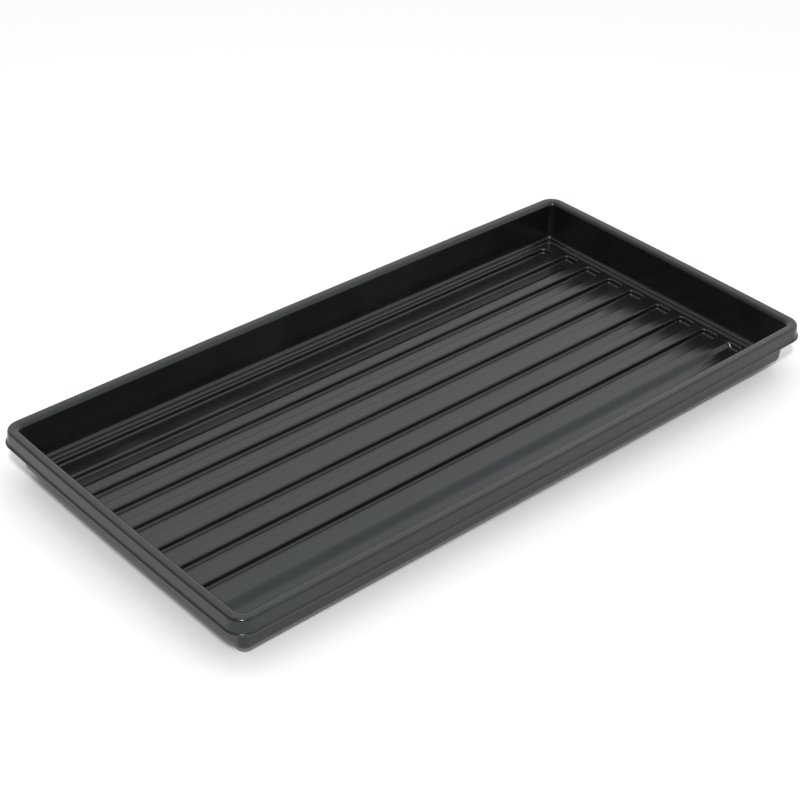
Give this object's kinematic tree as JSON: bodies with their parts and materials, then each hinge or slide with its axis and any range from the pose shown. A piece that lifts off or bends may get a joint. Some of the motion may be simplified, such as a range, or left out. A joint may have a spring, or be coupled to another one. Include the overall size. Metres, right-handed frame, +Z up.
{
  "type": "microgreen growing tray",
  "caption": "Shallow rectangular growing tray without holes: rolled rim with a skirt and trimmed lip, steep walls, a ledge round the floor and long pressed drainage channels.",
  "frame": {"origin": "centre of the footprint, on the surface that the tray stands on", "axes": "+X along the tray, +Y across it, +Z up towards the rim"},
  "size_m": [0.5454, 0.2758, 0.0396],
  "materials": {
    "black_plastic": "satin gloss black formed sheet"
  },
  "bodies": {
    "root": {"tray": "black_plastic"}
  },
  "joints": []
}
